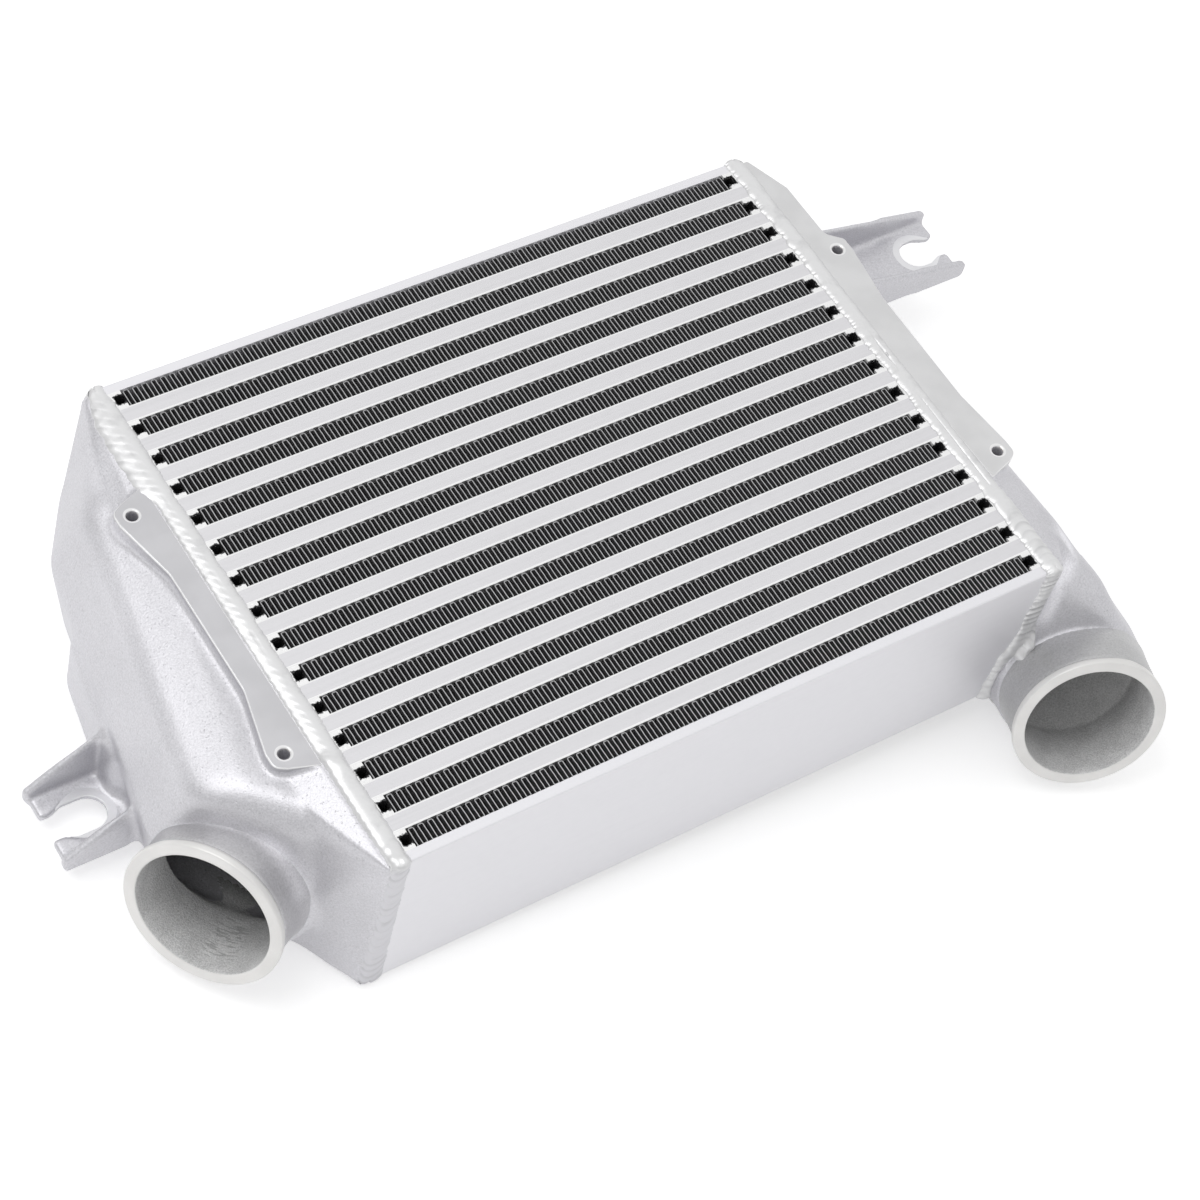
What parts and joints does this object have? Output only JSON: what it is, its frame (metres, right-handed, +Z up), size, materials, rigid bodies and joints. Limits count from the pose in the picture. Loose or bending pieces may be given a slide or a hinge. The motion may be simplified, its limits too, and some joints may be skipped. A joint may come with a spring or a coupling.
{
  "type": "intercooler",
  "caption": "Bar-and-plate charge-air cooler with cast end tanks, angled hose ports, a tapped top flange and slotted mounting forks, for cooling boosted intake air.",
  "frame": {"origin": "centre of the four tapped holes, on the top face of the flanges and the core", "axes": "+X along the core's rows towards the right tank, +Y towards the back, +Z up, out of the top face"},
  "size_m": [0.5175, 0.3006, 0.1067],
  "materials": {
    "cast_tank": "fine-grained satin silver casting, machined bare at the lips, pads and seats",
    "weld": "bright rippled weld bead",
    "fin_sheet": "thin bare sheet, brazed",
    "parting_sheet": "thin bright sheet",
    "core_bar": "satin bare bar"
  },
  "bodies": {
    "root": {"left_tank": "cast_tank", "right_tank": "cast_tank", "front_side_plate": "core_bar", "back_side_plate": "core_bar", "left_end_bars": "core_bar", "right_end_bars": "core_bar", "left_weld": "weld", "right_weld": "weld", "parting_sheets": "parting_sheet", "air_fin_01": "fin_sheet", "air_fin_02": "fin_sheet", "air_fin_03": "fin_sheet", "air_fin_04": "fin_sheet", "air_fin_05": "fin_sheet", "air_fin_06": "fin_sheet", "air_fin_07": "fin_sheet", "air_fin_08": "fin_sheet", "air_fin_09": "fin_sheet", "air_fin_10": "fin_sheet", "air_fin_11": "fin_sheet", "air_fin_12": "fin_sheet", "air_fin_13": "fin_sheet", "air_fin_14": "fin_sheet", "air_fin_15": "fin_sheet", "tube_bars_01": "core_bar", "tube_bars_02": "core_bar", "tube_bars_03": "core_bar", "tube_bars_04": "core_bar", "tube_bars_05": "core_bar", "tube_bars_06": "core_bar", "tube_bars_07": "core_bar", "tube_bars_08": "core_bar", "tube_bars_09": "core_bar", "tube_bars_10": "core_bar", "tube_bars_11": "core_bar", "tube_bars_12": "core_bar", "tube_bars_13": "core_bar", "tube_bars_14": "core_bar", "turbulator_01": "fin_sheet", "turbulator_02": "fin_sheet", "turbulator_03": "fin_sheet", "turbulator_04": "fin_sheet", "turbulator_05": "fin_sheet", "turbulator_06": "fin_sheet", "turbulator_07": "fin_sheet", "turbulator_08": "fin_sheet", "turbulator_09": "fin_sheet", "turbulator_10": "fin_sheet", "turbulator_11": "fin_sheet", "turbulator_12": "fin_sheet", "turbulator_13": "fin_sheet", "turbulator_14": "fin_sheet"}
  },
  "joints": []
}
